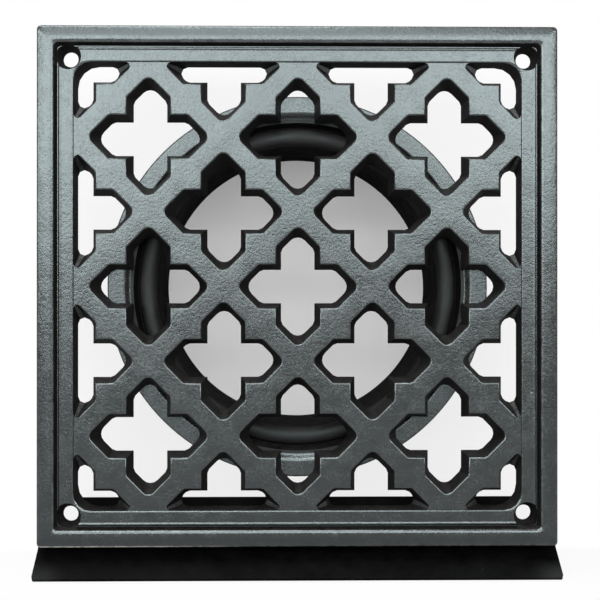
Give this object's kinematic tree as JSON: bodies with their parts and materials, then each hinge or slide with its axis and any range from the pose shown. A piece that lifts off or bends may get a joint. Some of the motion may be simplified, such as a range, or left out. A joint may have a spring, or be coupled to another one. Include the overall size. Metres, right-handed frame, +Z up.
{
  "type": "ventilation grille",
  "caption": "Square cast wall grille with a pierced cross lattice, a round duct collar behind it and a bent drip sill below.",
  "frame": {"origin": "centre of the square plate and of its four wall screw holes, on the plate's back face", "axes": "+Z up, +X to the right seen from the front, +Y backwards into the wall, so the front faces -Y"},
  "size_m": [0.2018, 0.0623, 0.2117],
  "materials": {
    "cast_plate": "satin black paint over a fine cast grain",
    "cast_collar": "satin black paint over a turned casting",
    "screws": "dull zinc",
    "sill_sheet": "satin black paint on folded sheet"
  },
  "bodies": {
    "root": {"grille_plate": "cast_plate", "duct_collar": "cast_collar", "collar_screws": "screws", "drip_sill": "sill_sheet"}
  },
  "joints": []
}
